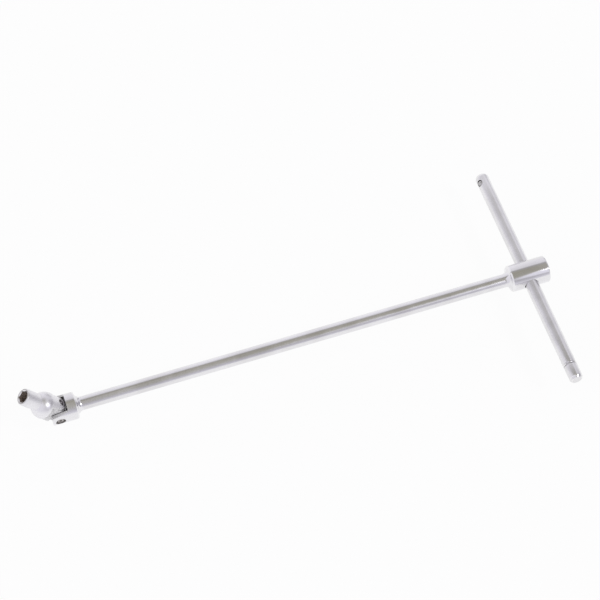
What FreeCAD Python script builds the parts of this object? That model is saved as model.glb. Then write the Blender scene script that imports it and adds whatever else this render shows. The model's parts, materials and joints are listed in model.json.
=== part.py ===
import FreeCAD, Part
import math
import os

# T-handle swivel socket wrench: a long shaft with a cross hub and a sliding T-bar at one end,
# and a pinned universal joint with a hexagon socket at the other.
# Millimetres. +X runs along the shaft to the hub end, +Y along the T-bar, +Z up.
# The origin is the centre of the hub's flat end face.

# Hub and T-bar
hubDia = 19.8
hubLength = 28.5
hubEdge = 1.2
barFromHubEnd = 15.0
barDia = 10.0
barLength = 187.0
barShift = -1.0
barChamferLength = 1.7
barChamferDepth = 1.1
barBoreClearance = 0.06

# Shaft between the hub and the joint
shaftDia = 10.0
jointFromHubEnd = 371.4
spigotDia = 8.0
hubSpigotLength = 12.0
spigotChamfer = 0.4
flareRadius = 4.2
flareShoulder = 0.7
fitClearance = 0.01

# Snap ring that stops the T-bar at its near end
ringFromBarEnd = 13.0
ringWire = 1.1
ringInnerDia = 8.4
ringGrooveDia = 8.3
ringGrooveWidth = 1.5
ringGapAngle = 32.0
ringGapTurn = 50.0

# Spring ball that stops the T-bar at its far end
ballDia = 5.0
ballFromBarEnd = 7.1
ballTurn = 33.0
ballProud = 0.5
ballClearance = 0.05
ballHoleBottom = -3.4
ballSpringWire = 0.6
ballSpringDia = 4.4
ballSpringTop = 0.78
ballSpringTurns = 3

# Universal joint: the cross pin lies one pin offset nearer the mouth than the main pin
yokeRadius = 9.85
earRadius = 9.35
shaftShoulder = 6.5
socketShoulder = 7.3
domeLip = 0.9
lipEdge = 0.3
yokeRim = 12.9
pinOffset = 4.9
blockSize = 11.0
blockEndRadius = 5.5
slotClearance = 0.1
shaftEarEdge = 0.5
socketEarEdge = 2.2
shaftEarTip = 4.5
shaftEarEnd = 5.4
shaftEarRoot = 6.5
shaftEarCorner = 1.2
socketEarTip = 4.8
socketEarEnd = 4.2
socketEarRoot = 6.3
earOverlap = 1.0
mainPinDia = 4.8
mainPinMouth = 7.3
mainPinRecess = 0.9
crossPinDia = 4.0
crossPinMouth = 5.0
crossPinRecess = 0.5
pinRunning = 0.03
pinDimple = 2.0
pinChamfer = 0.3
bendAngle = 50.0
swingAngle = -8.0

# Friction plungers that bear on the centre block's round ends
plungerDia = 4.8
plungerBoreDia = 4.9
plungerGap = 0.1
shaftPlungerHead = 3.0
socketPlungerHead = 4.6
plungerEdge = 0.4
plungerStem = 1.4
plungerStemDia = 2.4
frictionWire = 0.6
frictionSpringDia = 4.2
frictionSpringLength = 3.0
spigotGap = 0.5
frictionTurns = 3
springEndGap = 0.02

# Socket
socketDia = 12.2
domeRadius = 9.7
mouthFromMainPin = 33.2
hexAcrossFlats = 8.1
hexDepth = 9.5
clearBoreDia = 8.1
clearBoreDepth = 2.8
mouthLead = 0.7
mouthEdge = 0.6

# Worked out from the sizes above
barRadius = barDia / 2
shaftRadius = shaftDia / 2
hubRadius = hubDia / 2
spigotRadius = spigotDia / 2
barX = -barFromHubEnd
jointX = -jointFromHubEnd
flareRim = shaftRadius + flareRadius
hubNeckX = -hubLength - flareShoulder - flareRadius
yokeNeck = yokeRim + flareShoulder + flareRadius
slotHalf = blockSize / 2 + slotClearance
plungerStart = blockEndRadius + plungerGap
shaftSpringStart = plungerStart + shaftPlungerHead
socketSpringStart = plungerStart + socketPlungerHead
spigotTip = shaftSpringStart + spigotGap
mouthX = mouthFromMainPin - pinOffset
diagonal = math.sin(math.radians(45))

axisX = FreeCAD.Vector(1, 0, 0)
axisY = FreeCAD.Vector(0, 1, 0)
axisZ = FreeCAD.Vector(0, 0, 1)


def vec(x, y=0.0, z=0.0):
    return FreeCAD.Vector(x, y, z)


def outline(start, *steps):
    """Closed wire through (x, y) points; a step that is a pair of points is an arc."""
    here = vec(*start)
    edges = []
    for step in steps:
        if isinstance(step[0], tuple):
            there = vec(*step[1])
            edges.append(Part.Arc(here, vec(*step[0]), there).toShape())
        else:
            there = vec(*step)
            edges.append(Part.LineSegment(here, there).toShape())
        here = there
    edges.append(Part.LineSegment(here, vec(*start)).toShape())
    return Part.Wire(edges)


def turned(start, *steps):
    """Solid turned about the X axis from an (x, radius) outline."""
    return Part.Face(outline(start, *steps)).revolve(vec(0), axisX, 360)


def rod(radius, start, end):
    """Round bar along X."""
    return Part.makeCylinder(radius, end - start, vec(start), axisX)


def crossRod(radius, halfLength, centre=vec(0)):
    """Round bar along Y, centred on a point."""
    return Part.makeCylinder(radius, 2 * halfLength, centre - axisY * halfLength, axisY)


def chamferedRod(radius, start, end, chamfer):
    return turned((start, 0), (start, radius - chamfer), (start + chamfer, radius),
                  (end - chamfer, radius), (end, radius - chamfer), (end, 0))


def flareMiddle(neckX, rimX):
    """Middle point of the concave quarter arc between the shaft's surface and a flare's rim."""
    return (neckX + (rimX - neckX) * diagonal, flareRim - flareRadius * diagonal)


def coil(outerDia, wire, start, end, turns):
    """Compression spring along X, its wire swept along a helix of half turns."""
    meanRadius = (outerDia - wire) / 2
    pitch = (end - start - wire) / turns
    edges = []
    for index in range(2 * turns):
        halfTurn = Part.makeHelix(pitch, pitch / 2, meanRadius)
        halfTurn.rotate(vec(0), axisZ, 180 * index)
        halfTurn.translate(vec(0, 0, index * pitch / 2))
        edges += halfTurn.Edges
    section = Part.Wire(Part.makeCircle(wire / 2, vec(meanRadius), axisY))
    spring = Part.Wire(edges).makePipeShell([section], True, True)
    spring.rotate(vec(0), axisY, 90)
    spring.translate(vec(start + wire / 2))
    return spring


def alongBar(shape, centre):
    """Carries a shape from the bar's own frame, with X along the bar, to its place in the hub."""
    shape.rotate(vec(0), axisZ, 90)
    shape.translate(vec(barX, centre))
    return shape


def withMainPin(shape):
    """Carries a shape from the straight joint, with the main pin at the origin, to the bent joint."""
    shape.rotate(vec(0), axisY, bendAngle)
    shape.translate(vec(jointX))
    return shape


def withCrossPin(shape):
    """Carries a shape from the socket's frame, with the cross pin along Y and the mouth towards +X."""
    shape.rotate(vec(0), axisX, 90)
    shape.rotate(vec(0), axisZ, 180 + swingAngle)
    shape.translate(vec(-pinOffset))
    return withMainPin(shape)


def hub():
    """Cross hub: a turned body with a flared neck, bored for the bar and for the shaft's spigot."""
    rimX = hubNeckX + flareRadius
    boreEnd = hubNeckX + hubSpigotLength
    crown = (-hubEdge * (1 - diagonal), hubRadius - hubEdge * (1 - diagonal))
    body = turned((hubNeckX, spigotRadius), (hubNeckX, shaftRadius),
                  (flareMiddle(hubNeckX, rimX), (rimX, flareRim)), (-hubLength, hubRadius),
                  (-hubEdge, hubRadius), (crown, (0, hubRadius - hubEdge)), (0, 0),
                  (boreEnd, 0), (boreEnd, spigotRadius))
    return body.cut(crossRod(barRadius + barBoreClearance, hubDia, vec(barX)))


def shaft():
    """Long round shaft with a turned spigot at each end, drilled at the joint end for a spring."""
    radius = spigotRadius - fitClearance
    jointTip = jointX + spigotTip
    jointStep = jointX + yokeNeck + fitClearance
    hubStep = hubNeckX - fitClearance
    hubTip = hubNeckX + hubSpigotLength - fitClearance
    body = turned((jointTip, 0), (jointTip, radius - spigotChamfer), (jointTip + spigotChamfer, radius),
                  (jointStep, radius), (jointStep, shaftRadius), (hubStep, shaftRadius), (hubStep, radius),
                  (hubTip - spigotChamfer, radius), (hubTip, radius - spigotChamfer), (hubTip, 0))
    springFloor = jointX + shaftSpringStart + frictionSpringLength
    return body.cut(rod(plungerBoreDia / 2, jointTip, springFloor))


def roundEar(shoulder, root, tip):
    """Ear outline with a round end of the tip's radius, its flanks widening to the root."""
    back = shoulder + earOverlap
    touch = math.atan2(root, shoulder) + math.acos(tip / math.hypot(shoulder, root))
    side = (tip * math.cos(touch), tip * math.sin(touch))
    return outline((back, -root), (shoulder, -root), (side[0], -side[1]),
                   ((-tip, 0), side), (shoulder, root), (back, root))


def squareEar(shoulder, root, end, tip, corner):
    """Ear outline with a flat end two tips wide and rounded corners, its flanks widening to the root."""
    back = shoulder + earOverlap
    flank = math.atan2(root - tip, shoulder + end)
    half = (math.pi / 2 + flank) / 2
    middle = (corner / math.tan(half), corner / math.sin(half) - corner)
    onEnd = (-end, tip - middle[0])
    onFlank = (middle[0] * math.cos(flank) - end, tip + middle[0] * math.sin(flank))
    onCorner = (middle[1] * math.cos(flank - half) - end, tip + middle[1] * math.sin(flank - half))
    return outline((back, -root), (shoulder, -root), (onFlank[0], -onFlank[1]),
                   ((onCorner[0], -onCorner[1]), (onEnd[0], -onEnd[1])), onEnd,
                   (onCorner, onFlank), (shoulder, root), (back, root))


def forkEars(radius, shoulder, end, edge, plan):
    """Two ears about a pin along Y, from their outline, with their outer edges rounded at the end."""
    back = shoulder + earOverlap
    tongue = Part.Face(plan)
    tongue.rotate(vec(0), axisX, 90)
    tongue.translate(axisY * radius)
    tongue = tongue.extrude(axisY * (-2 * radius))
    inset = edge * (1 - diagonal)
    envelope = turned((-end, 0), (-end, radius - edge), ((inset - end, radius - inset), (edge - end, radius)),
                      (back, radius), (back, 0))
    slot = Part.makeBox(2 * end + shoulder, 2 * slotHalf, 4 * radius, vec(-2 * end, -slotHalf, -2 * radius))
    return tongue.common(envelope).cut(slot)


def pinHole(hole, mouth, recess, radius):
    """Cutter along Y: a pin hole that widens to a recess at both outer faces."""
    cutter = crossRod(hole / 2, 2 * radius)
    for side in (axisY, axisY * -1):
        cutter = cutter.fuse(Part.makeCone(hole / 2, mouth / 2, recess, side * (radius - recess), side))
        cutter = cutter.fuse(Part.makeCylinder(mouth / 2, recess, side * radius, side))
    return cutter


def shaftYoke():
    """Fork at the end of the shaft: flared neck, round shoulder and the two ears of the main pin."""
    rimX = yokeRim + flareShoulder
    body = turned((shaftShoulder, plungerBoreDia / 2), (shaftShoulder, yokeRadius), (yokeRim, yokeRadius),
                  (rimX, flareRim), (flareMiddle(yokeNeck, rimX), (yokeNeck, shaftRadius)),
                  (yokeNeck, spigotRadius), (spigotTip - fitClearance, spigotRadius),
                  (spigotTip - fitClearance, plungerBoreDia / 2))
    plan = squareEar(shaftShoulder, shaftEarRoot, shaftEarEnd, shaftEarTip, shaftEarCorner)
    ears = forkEars(yokeRadius, shaftShoulder, shaftEarEnd, shaftEarEdge, plan)
    ears = ears.cut(rod(yokeRadius - earOverlap, shaftShoulder, yokeRim))
    body = body.fuse(ears).cut(pinHole(mainPinDia, mainPinMouth, mainPinRecess, yokeRadius))
    body = body.removeSplitter()
    body.translate(vec(jointX))
    return body


def hexagon(acrossFlats):
    """Hexagon about X with two corners along Z."""
    corner = acrossFlats / math.sqrt(3)
    turns = [math.radians(60 * index) for index in range(7)]
    return Part.makePolygon([vec(0, corner * math.sin(turn), corner * math.cos(turn)) for turn in turns])


def socketCavity():
    """Cutter for the hexagon, the round bore behind it and the cone that leads into it."""
    corner = hexAcrossFlats / math.sqrt(3)
    opening = Part.Face(hexagon(hexAcrossFlats))
    opening.translate(vec(mouthX - hexDepth))
    cutter = opening.extrude(axisX * (hexDepth + mouthLead))
    cutter = cutter.fuse(rod(clearBoreDia / 2, mouthX - hexDepth - clearBoreDepth, mouthX))
    lead = Part.makeCone(corner - mouthLead, corner, mouthLead, vec(mouthX - mouthLead), axisX)
    return cutter.fuse(lead)


def socket():
    """Hexagon socket in one piece with its own fork: barrel, half-round dome and two ears."""
    barrel = socketDia / 2
    domeStart = socketShoulder + domeLip
    domeEnd = domeStart + math.sqrt(domeRadius ** 2 - barrel ** 2)
    onDome = (domeStart + domeRadius * diagonal, domeRadius * diagonal)
    plungerBottom = socketSpringStart + frictionSpringLength
    body = turned((plungerBottom, 0), (plungerBottom, plungerBoreDia / 2),
                  (socketShoulder, plungerBoreDia / 2), (socketShoulder, domeRadius - lipEdge),
                  (socketShoulder + lipEdge, domeRadius), (domeStart, domeRadius),
                  (onDome, (domeEnd, barrel)), (mouthX - mouthEdge, barrel),
                  (mouthX, barrel - mouthEdge), (mouthX, 0))
    plan = roundEar(socketShoulder, socketEarRoot, socketEarTip)
    ears = forkEars(earRadius, socketShoulder, socketEarEnd, socketEarEdge, plan)
    ears = ears.cut(rod(earRadius - earOverlap, socketShoulder, mouthX))
    body = body.fuse(ears).cut(socketCavity())
    body = body.cut(pinHole(crossPinDia, crossPinMouth, crossPinRecess, earRadius)).removeSplitter()
    return withCrossPin(body)


def stakedPin(diameter, halfLength):
    """Pin along Y with chamfered, centre-punched ends."""
    pin = chamferedRod(diameter / 2 - fitClearance, -halfLength, halfLength, pinChamfer)
    for side in (axisX, axisX * -1):
        root = side * (halfLength - pinDimple / 2)
        pin = pin.cut(Part.makeCone(0, pinDimple / 2, pinDimple / 2, root, side))
    pin.rotate(vec(0), axisZ, 90)
    return pin


def mainPin():
    pin = stakedPin(mainPinDia, yokeRadius - mainPinRecess)
    pin.translate(vec(jointX))
    return pin


def crossPin():
    return withCrossPin(stakedPin(crossPinDia, earRadius - crossPinRecess))


def centreBlock():
    """Steel block, its back end round about the main pin and its front end about the cross pin."""
    half = blockSize / 2
    corner = vec(-half, -half, -half)
    back = Part.makeCylinder(blockEndRadius, blockSize, vec(0, -half), axisY)
    back = back.fuse(Part.makeBox(2 * blockSize, blockSize, blockSize, vec(-2 * blockSize, -half, -half)))
    front = Part.makeCylinder(blockEndRadius, blockSize, vec(-pinOffset, 0, -half), axisZ)
    front = front.fuse(Part.makeBox(2 * blockSize, blockSize, blockSize, corner + vec(half - pinOffset)))
    block = back.common(front)
    block = block.cut(crossRod(mainPinDia / 2 + pinRunning, blockSize))
    crossHole = crossRod(crossPinDia / 2 + pinRunning, blockSize)
    crossHole.rotate(vec(0), axisX, 90)
    crossHole.translate(vec(-pinOffset))
    return withMainPin(block.cut(crossHole).removeSplitter())


def frictionPlunger(head):
    """Plunger with its face on the block's round end and a stem that centres the spring."""
    face = plungerStart
    back = face + head
    radius = plungerDia / 2
    stem = plungerStemDia / 2
    return turned((face, 0), (face, radius - plungerEdge), (face + plungerEdge, radius), (back, radius),
                  (back, stem), (back + plungerStem, stem), (back + plungerStem, 0))


def frictionSpring(start):
    return coil(frictionSpringDia, frictionWire, start + springEndGap,
                start + frictionSpringLength - springEndGap, frictionTurns)


def atShaft(shape):
    shape.translate(vec(jointX))
    return shape


def barBallCentre():
    return vec(barLength / 2 - ballFromBarEnd, barRadius + ballProud - ballDia / 2)


def tBar():
    """Sliding bar with a groove for the snap ring and a blind cross hole for the spring ball."""
    half = barLength / 2
    straight = half - barChamferLength
    face = barRadius - barChamferDepth
    bar = turned((-half, 0), (-half, face), (-straight, barRadius), (straight, barRadius), (half, face), (half, 0))
    ringX = -barLength / 2 + ringFromBarEnd
    groove = rod(2 * barRadius, ringX - ringGrooveWidth / 2, ringX + ringGrooveWidth / 2)
    groove = groove.cut(rod(ringGrooveDia / 2, ringX - ringGrooveWidth, ringX + ringGrooveWidth))
    centre = barBallCentre()
    radius = ballDia / 2 + ballClearance
    hole = Part.makeCylinder(radius, centre.y - ballHoleBottom, vec(centre.x, ballHoleBottom), axisY)
    hole = hole.fuse(Part.makeSphere(radius, centre))
    hole.rotate(vec(0), axisX, ballTurn)
    return alongBar(bar.cut(groove).cut(hole), barShift)


def barSnapRing():
    """Round-wire ring with a gap, sprung into the bar's groove."""
    meanRadius = (ringInnerDia + ringWire) / 2
    section = Part.Face(Part.Wire(Part.makeCircle(ringWire / 2, vec(0, meanRadius), axisZ)))
    ring = section.revolve(vec(0), axisX, 360 - ringGapAngle)
    ring.rotate(vec(0), axisX, ringGapTurn)
    ring.translate(vec(-barLength / 2 + ringFromBarEnd))
    return alongBar(ring, barShift)


def detentBall():
    ball = Part.makeSphere(ballDia / 2, barBallCentre())
    ball.rotate(vec(0), axisX, ballTurn)
    return alongBar(ball, barShift)


def detentSpring():
    spring = coil(ballSpringDia, ballSpringWire, ballHoleBottom + springEndGap, ballSpringTop, ballSpringTurns)
    spring.rotate(vec(0), axisZ, 90)
    spring.translate(vec(barBallCentre().x))
    spring.rotate(vec(0), axisX, ballTurn)
    return alongBar(spring, barShift)


nodes = {
    "hub": hub,
    "shaft": shaft,
    "shaft_yoke": shaftYoke,
    "main_pin": mainPin,
    "yoke_friction_plunger": lambda: atShaft(frictionPlunger(shaftPlungerHead)),
    "yoke_friction_spring": lambda: atShaft(frictionSpring(shaftSpringStart)),
    "centre_block": centreBlock,
    "cross_pin": crossPin,
    "socket": socket,
    "socket_friction_plunger": lambda: withCrossPin(frictionPlunger(socketPlungerHead)),
    "socket_friction_spring": lambda: withCrossPin(frictionSpring(socketSpringStart)),
    "t_bar": tBar,
    "bar_snap_ring": barSnapRing,
    "detent_ball": detentBall,
    "detent_spring": detentSpring,
}

os.makedirs("parts", exist_ok=True)
for name, build in nodes.items():
    shape = build()
    print(name, "valid", shape.isValid(), "solids", len(shape.Solids), "volume", round(shape.Volume, 2))
    shape.exportStep("parts/" + name + ".step")
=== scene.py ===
import json
import math

import bpy
from mathutils import Matrix, Vector


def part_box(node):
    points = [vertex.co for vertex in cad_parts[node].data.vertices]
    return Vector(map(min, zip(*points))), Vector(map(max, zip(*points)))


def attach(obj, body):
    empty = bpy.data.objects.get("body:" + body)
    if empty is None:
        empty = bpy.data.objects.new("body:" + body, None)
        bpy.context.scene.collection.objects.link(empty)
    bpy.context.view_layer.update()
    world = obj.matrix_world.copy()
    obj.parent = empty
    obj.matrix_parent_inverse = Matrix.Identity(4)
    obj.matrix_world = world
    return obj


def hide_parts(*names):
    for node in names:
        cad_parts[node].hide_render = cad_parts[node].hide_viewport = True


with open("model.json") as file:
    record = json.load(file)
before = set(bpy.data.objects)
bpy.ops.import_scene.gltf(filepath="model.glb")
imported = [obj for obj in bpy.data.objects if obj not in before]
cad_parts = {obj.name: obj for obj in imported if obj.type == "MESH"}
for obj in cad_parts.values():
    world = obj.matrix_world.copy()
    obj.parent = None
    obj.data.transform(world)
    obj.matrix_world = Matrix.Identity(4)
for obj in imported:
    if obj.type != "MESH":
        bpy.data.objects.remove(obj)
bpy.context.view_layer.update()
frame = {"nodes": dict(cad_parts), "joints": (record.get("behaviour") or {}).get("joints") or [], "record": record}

# pieces are sized in millimetres, the stage and the camera in metres, and colours are linear
mm = 0.001
fineTurn = (192, 10)  # faces round a large piece, and faces round a quarter of a rounded corner
insideCad = 0.001  # millimetres that keep a turned end within the CAD
record = frame["record"]
joints = {joint["name"]: joint for joint in frame["joints"]}
mounts = {mount["name"]: mount for mount in record["mounts"]}

# where the assembly's axes lie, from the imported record
mainPinAt = Vector(joints["main_pin_hinge"]["pos_m"])
crossPinAt = Vector(joints["cross_pin_hinge"]["pos_m"])
crossPinAxis = Vector(joints["cross_pin_hinge"]["axis"]).normalized()
barAt = Vector(joints["bar_spin"]["pos_m"])
mouthAt = Vector(mounts["hex_socket"]["pos_m"])
socketAxis = Vector(mounts["hex_socket"]["axis"]).normalized()
hubLow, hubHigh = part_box("hub")
barLow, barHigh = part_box("t_bar")
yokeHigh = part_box("shaft_yoke")[1]
ringLow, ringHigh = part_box("bar_snap_ring")
ballLow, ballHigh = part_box("detent_ball")


# a piece's own frame, given by its axes and its origin
def frameOf(xAxis, yAxis, origin):
    zAxis = xAxis.cross(yAxis)
    turn = Matrix((xAxis, yAxis, zAxis)).transposed()
    return Matrix.Translation(origin) @ turn.to_4x4()


# hub and shaft lie along the world's own X; the joint's pieces and the bar have frames of their own
rowFrame = Matrix.Identity(4)
yokeFrame = Matrix.Translation(mainPinAt)
socketFrame = frameOf(socketAxis, crossPinAxis, crossPinAt)
blockFrame = frameOf(Vector((0, 1, 0)).cross(crossPinAxis), Vector((0, 1, 0)), mainPinAt)
barMiddle = Vector((barAt.x, (barLow.y + barHigh.y) / 2, barAt.z))
barFrame = frameOf(Vector((0, 1, 0)), Vector((-1, 0, 0)), barMiddle)

# turns for a piece made along X
alongY = Matrix.Rotation(math.pi / 2, 4, "Z")
alongZ = Matrix.Rotation(-math.pi / 2, 4, "Y")
print("stage 1: frame read")


# a shader socket: an expression on signals adds its Math nodes
class Signal:
    def __init__(self, tree, socket=None):
        self.tree = tree
        self.socket = socket

    def node(self, kind, settings=None, sockets=None, output=0):
        made = self.tree.nodes.new(kind)
        for key, value in (settings or {}).items():
            if key == "stops":
                self.fillRamp(made.color_ramp, value)
            else:
                setattr(made, key, value)
        for key, value in (sockets or {}).items():
            if isinstance(value, Signal):
                self.tree.links.new(value.socket, made.inputs[key])
            else:
                made.inputs[key].default_value = value
        return Signal(self.tree, made.outputs[output] if made.outputs else None)

    def fillRamp(self, ramp, stops):
        while len(ramp.elements) < len(stops):
            ramp.elements.new(0.5)
        for element, (place, colour) in zip(ramp.elements, stops):
            element.position = place
            element.color = (*colour, 1)

    def math(self, operation, *values):
        return self.node("ShaderNodeMath", {"operation": operation}, dict(enumerate(values)))

    def __add__(self, other):
        return self.math("ADD", self, other)

    def __radd__(self, other):
        return self.math("ADD", other, self)

    def __sub__(self, other):
        return self.math("SUBTRACT", self, other)

    def __rsub__(self, other):
        return self.math("SUBTRACT", other, self)

    def __mul__(self, other):
        return self.math("MULTIPLY", self, other)

    def __rmul__(self, other):
        return self.math("MULTIPLY", other, self)

    def __truediv__(self, other):
        return self.math("DIVIDE", self, other)


def newMaterial(name):
    material = bpy.data.materials.new(name)
    material.use_nodes = True
    material.node_tree.nodes.clear()
    return material, Signal(material.node_tree)


# object coordinates, turned into the piece's own frame
def ownPlace(tree, pieceFrame):
    place = tree.node("ShaderNodeTexCoord", output=3)
    turn = pieceFrame.to_euler()
    return tree.node("ShaderNodeMapping", {"vector_type": "TEXTURE"},
                     {"Vector": place, "Location": pieceFrame.translation, "Rotation": turn})


def partsOf(tree, vector):
    split = tree.node("ShaderNodeSeparateXYZ", None, {0: vector})
    outputs = split.socket.node.outputs
    return [Signal(tree.tree, outputs[index]) for index in range(3)]


def joined(tree, x, y, z):
    return tree.node("ShaderNodeCombineXYZ", None, {0: x, 1: y, 2: z})


def noise(tree, vector, scale, detail=3.0, roughness=0.55):
    return tree.node("ShaderNodeTexNoise", None,
                     {"Vector": vector, "Scale": scale, "Detail": detail, "Roughness": roughness})


# a soft step from 0 below low to 1 above high
def step(tree, value, low, high):
    return tree.node("ShaderNodeMapRange", {"interpolation_type": "SMOOTHSTEP"},
                     {"Value": value, "From Min": low, "From Max": high})


# a mix of two colours, each one a triple or a signal
def tint(tree, factor, first, second):
    first, second = [end if isinstance(end, Signal) else (*end, 1) for end in (first, second)]
    return tree.node("ShaderNodeMix", {"data_type": "RGBA"},
                     {"Factor": factor, 6: first, 7: second}, output=2)


# wear along turned edges: rings at (x, radius) in the piece's frame, in millimetres
def ringWear(tree, along, radius, rings, width):
    worn = None
    for x, r in rings:
        offAxis = along - x * mm
        offRadius = radius - r * mm
        away = tree.math("SQRT", offAxis * offAxis + offRadius * offRadius)
        near = tree.math("MAXIMUM", 1 - away / (width * mm), 0.0)
        worn = near if worn is None else tree.math("MAXIMUM", worn, near)
    return worn


def finishMaterial(tree, colour, roughness, height, values):
    bump = tree.node("ShaderNodeBump", None,
                     {"Strength": values["bump"], "Distance": values["bumpDepth"] * mm, "Height": height})
    shader = tree.node("ShaderNodeBsdfPrincipled", None,
                       {"Base Color": colour, "Metallic": values["metallic"], "Roughness": roughness,
                        "Normal": bump})
    tree.node("ShaderNodeOutputMaterial", None, {"Surface": shader})


# satin chrome: rings left by the lathe, a fine blasted grain, smudges, hairline marks and worn edges
chromeValues = {
    "light": (0.825, 0.817, 0.84),
    "dark": (0.75, 0.74, 0.755),
    "worn": (0.92, 0.915, 0.92),
    "metallic": 1.0,
    "roughness": 0.16,
    "smudge": 0.05,
    "grain": 0.05,
    "ringPitch": 0.22,
    "ringDrift": 9.0,
    "hairLength": 14.0,
    "hairWidth": 0.16,
    "grainScale": 3200.0,
    "smudgeScale": 70.0,
    "cloudScale": 18.0,
    "bump": 0.35,
    "bumpDepth": 0.02,
    "wearWidth": 0.45,
}


def satinChrome(name, pieceFrame, rings, changes=None):
    values = {**chromeValues, **(changes or {})}
    material, tree = newMaterial(name)
    place = ownPlace(tree, pieceFrame)
    along, across, up = partsOf(tree, place)
    radius = tree.math("SQRT", across * across + up * up)
    pitch, hairWidth = values["ringPitch"] * mm, values["hairWidth"] * mm
    ringPlace = joined(tree, along / pitch, radius / pitch, across / (values["ringDrift"] * mm))
    lathe = noise(tree, ringPlace, 1.0, 2.0)
    grain = noise(tree, place, values["grainScale"], 2.0, 0.7)
    smudge = noise(tree, place, values["smudgeScale"], 4.0)
    cloud = noise(tree, place, values["cloudScale"], 2.0)
    hairPlace = joined(tree, along / (values["hairLength"] * mm), across / hairWidth, up / hairWidth)
    hair = step(tree, noise(tree, hairPlace, 1.0, 1.0), 0.68, 0.76)
    worn = ringWear(tree, along, radius, rings, values["wearWidth"]) * (0.4 + smudge)
    shade = step(tree, 0.6 * smudge + 0.4 * cloud, 0.35, 0.62)
    colour = tint(tree, shade, values["dark"], values["light"])
    colour = tint(tree, worn, colour, values["worn"])
    roughness = values["roughness"] + values["smudge"] * (smudge - 0.5) * 2 + values["grain"] * (grain - 0.5)
    roughness = roughness + 0.08 * hair - 0.07 * worn
    height = 0.55 * lathe + 0.45 * grain - 0.3 * hair
    finishMaterial(tree, colour, roughness, height, values)
    return material


# milled flats: curved cutter marks over a coarse sparkling grain, with painted shade of the slot's gap darkening
# them out to a set distance from the middle
milledValues = {
    "light": (0.84, 0.835, 0.84),
    "dark": (0.50, 0.50, 0.495),
    "metallic": 0.35,
    "roughness": 0.36,
    "gapShadeEdge": -1.0,
    "gapShade": (0.06, 0.055, 0.055),
    "pitch": 0.35,
    "markWidth": 4.0,
    "markHeight": 30.0,
    "cutterCentre": -12.0,
    "grainScale": 1900.0,
    "blotchScale": 420.0,
    "bump": 0.7,
    "bumpDepth": 0.04,
}


def milledFlat(name, pieceFrame, changes=None):
    values = {**milledValues, **(changes or {})}
    material, tree = newMaterial(name)
    place = ownPlace(tree, pieceFrame)
    along, across, up = partsOf(tree, place)
    fromCutter = along - values["cutterCentre"] * mm
    arc = tree.math("SQRT", fromCutter * fromCutter + up * up + across * across * 0.2)
    markPlace = joined(tree, arc / (values["pitch"] * mm), across / (values["markWidth"] * mm),
                       up / (values["markHeight"] * mm))
    marks = noise(tree, markPlace, 1.0, 2.0)
    grain = noise(tree, place, values["grainScale"], 3.0, 0.75)
    blotch = noise(tree, place, values["blotchScale"], 3.0)
    shade = step(tree, 0.5 * grain + 0.2 * blotch + 0.3 * marks, 0.34, 0.66)
    colour = tint(tree, shade, values["dark"], values["light"])
    # painted shade: a dark strip where the ears meet the slot's gap
    fromMiddle = tree.math("ABSOLUTE", across)
    awayFromGap = step(tree, fromMiddle, (values["gapShadeEdge"] - 0.12) * mm, (values["gapShadeEdge"] + 0.12) * mm)
    colour = tint(tree, awayFromGap, values["gapShade"], colour)
    roughness = values["roughness"] + 0.22 * (blotch - 0.5) + 0.16 * (grain - 0.5)
    finishMaterial(tree, colour, roughness, 0.5 * marks + 0.6 * grain, values)
    return material


# dark blotchy steel: oil and dust that stay in recesses, and painted shade in holes and gaps
grimeAndShadeValues = {
    "light": (0.34, 0.32, 0.31),
    "dark": (0.09, 0.08, 0.075),
    "metallic": 1.0,
    "roughness": 0.45,
    "grainScale": 1500.0,
    "blotchScale": 330.0,
    "bump": 0.6,
    "bumpDepth": 0.03,
}


def grimeAndShadeSteel(name, pieceFrame, changes=None):
    values = {**grimeAndShadeValues, **(changes or {})}
    material, tree = newMaterial(name)
    place = ownPlace(tree, pieceFrame)
    grain = noise(tree, place, values["grainScale"], 3.0, 0.7)
    blotch = noise(tree, place, values["blotchScale"], 4.0)
    shade = step(tree, 0.4 * grain + 0.6 * blotch, 0.42, 0.70)
    colour = tint(tree, shade, values["dark"], values["light"])
    roughness = values["roughness"] + 0.3 * (blotch - 0.5)
    finishMaterial(tree, colour, roughness, grain + 0.5 * blotch, values)
    return material


# drawn or ground steel: fine lines along the piece
groundValues = {
    "light": (0.62, 0.615, 0.62),
    "dark": (0.36, 0.35, 0.35),
    "metallic": 1.0,
    "roughness": 0.24,
    "pitch": 0.12,
    "lineLength": 6.0,
    "blotchScale": 420.0,
    "bump": 0.4,
    "bumpDepth": 0.015,
}


def groundSteel(name, pieceFrame, changes=None):
    values = {**groundValues, **(changes or {})}
    material, tree = newMaterial(name)
    place = ownPlace(tree, pieceFrame)
    along, across, up = partsOf(tree, place)
    pitch = values["pitch"] * mm
    linePlace = joined(tree, along / (values["lineLength"] * mm), across / pitch, up / pitch)
    lines = noise(tree, linePlace, 1.0, 2.0)
    blotch = noise(tree, place, values["blotchScale"], 4.0)
    colour = tint(tree, step(tree, 0.5 * blotch + 0.5 * lines, 0.30, 0.70), values["dark"], values["light"])
    roughness = values["roughness"] + 0.16 * (blotch - 0.5) + 0.06 * (lines - 0.5)
    finishMaterial(tree, colour, roughness, lines, values)
    return material


def clearSelection():
    if bpy.context.object and bpy.context.object.mode != "OBJECT":
        bpy.ops.object.mode_set(mode="OBJECT")
    bpy.ops.object.select_all(action="DESELECT")


def only(piece):
    clearSelection()
    piece.hide_set(False)
    piece.select_set(True)
    bpy.context.view_layer.objects.active = piece


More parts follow.
